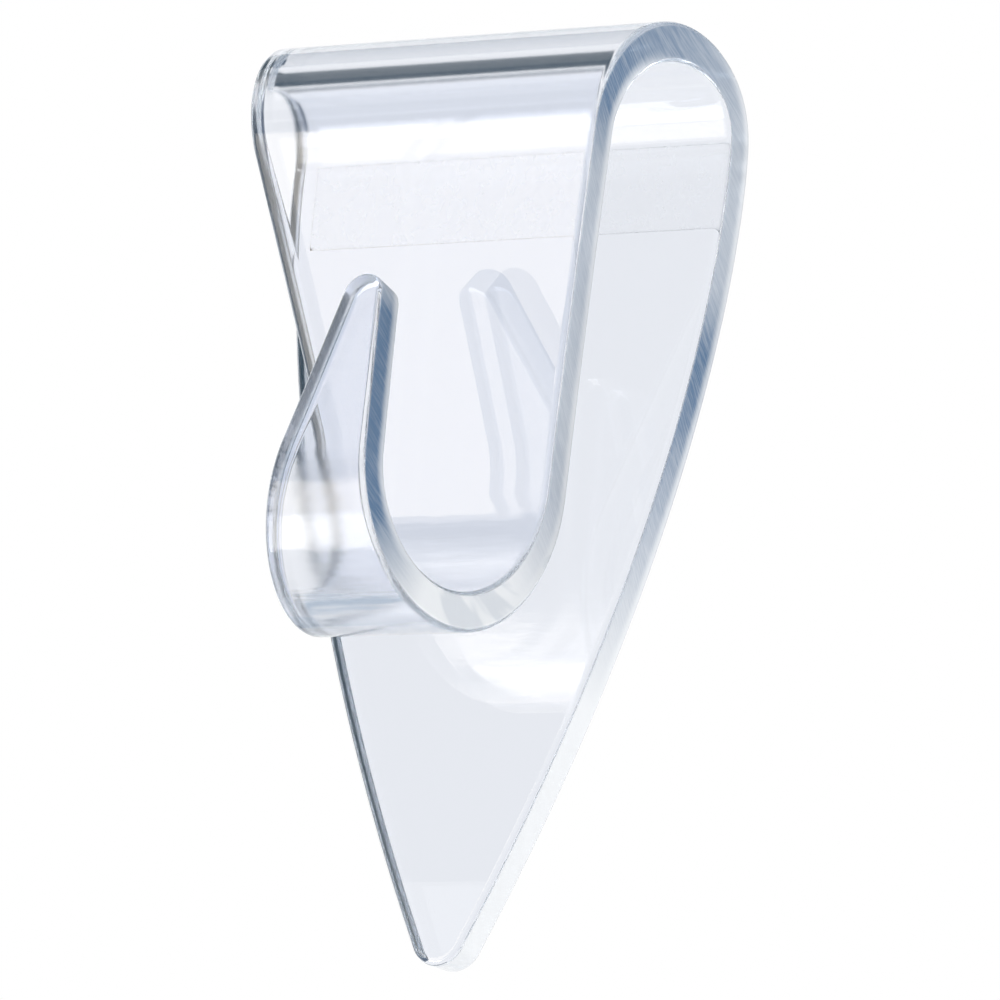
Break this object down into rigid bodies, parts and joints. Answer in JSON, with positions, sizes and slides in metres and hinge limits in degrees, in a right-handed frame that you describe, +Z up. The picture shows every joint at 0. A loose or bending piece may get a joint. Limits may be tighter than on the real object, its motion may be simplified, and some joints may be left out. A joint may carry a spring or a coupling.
{
  "type": "adhesive wall hook",
  "caption": "Clear wall hook bent from a leaf-shaped plastic sheet, with an upturned hook in front and a double-sided adhesive strip on the back of its wall plate.",
  "frame": {"origin": "centre of the adhesive strip's wall face, on the plane of the wall", "axes": "+Z up along the wall plate, +Y into the wall, +X to the right of someone facing the wall"},
  "size_m": [0.0316, 0.0212, 0.0575],
  "materials": {
    "clear_plastic": "clear, polished",
    "clear_adhesive": "clear, grainy, tacky",
    "clear_film": "clear, smooth"
  },
  "bodies": {
    "root": {"hook_body": "clear_plastic", "hook_side_adhesive": "clear_adhesive", "carrier_film": "clear_film", "wall_side_adhesive": "clear_adhesive"}
  },
  "joints": []
}
